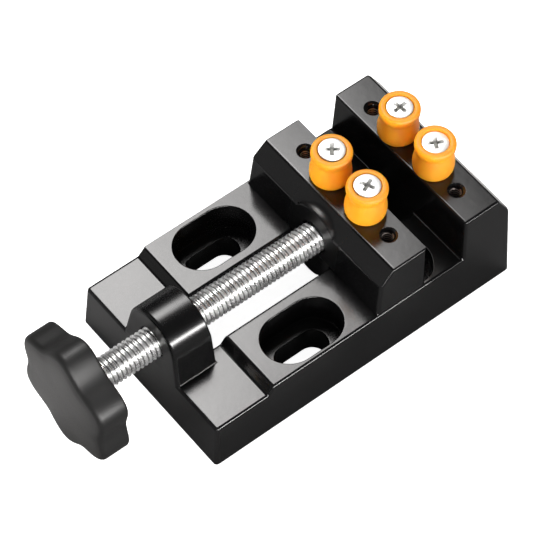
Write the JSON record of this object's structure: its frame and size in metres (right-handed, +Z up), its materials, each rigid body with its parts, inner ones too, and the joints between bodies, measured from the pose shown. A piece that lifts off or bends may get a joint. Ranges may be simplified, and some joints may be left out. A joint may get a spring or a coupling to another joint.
{
  "type": "mini bench vise",
  "caption": "Mini bench vise: black cast base with slotted rails and a fixed jaw, a movable jaw drawn by a lead screw and star knob, and orange pegs that hold round or odd work.",
  "frame": {"origin": "centre of the base's underside, on the plane that it stands on", "axes": "+X along the screw from the knob to the fixed jaw, +Y across to the left as seen from the knob, +Z up"},
  "size_m": [0.1426, 0.0636, 0.0498],
  "materials": {
    "casting": "gloss black coat on a die casting",
    "steel": "bright zinc plate",
    "knob": "satin moulded plastic",
    "insert": "machined",
    "peg": "moulded plastic",
    "pin": "ground"
  },
  "bodies": {
    "base": {"base": "casting", "peg_fixed_left": "peg", "peg_fixed_right": "peg", "peg_screw_fixed_left": "steel", "peg_screw_fixed_right": "steel"},
    "jaw": {"movable_jaw": "casting", "keeper_plate": "steel", "keeper_screw_front": "steel", "keeper_screw_rear": "steel", "keeper_washer_front": "steel", "keeper_washer_rear": "steel", "retaining_pin_left": "pin", "retaining_pin_right": "pin", "peg_moving_left": "peg", "peg_moving_right": "peg", "peg_screw_moving_left": "steel", "peg_screw_moving_right": "steel"},
    "screw": {"lead_screw": "steel", "knob": "knob", "knob_insert": "insert"}
  },
  "joints": [
    {"name": "jaw_slide", "type": "slide", "parent": "base", "child": "jaw", "axis": [1, 0, 0], "range_m": [-0.044, 0.0125]},
    {"name": "screw_turn", "type": "hinge", "parent": "jaw", "child": "screw", "pos_m": [0, 0, 0.0256], "axis": [1, 0, 0], "range_deg": [-10562, 3002]}
  ],
  "couplings": [
    {"joint": "screw_turn", "follows": "jaw_slide", "rad_per_m": 4188.8}
  ]
}
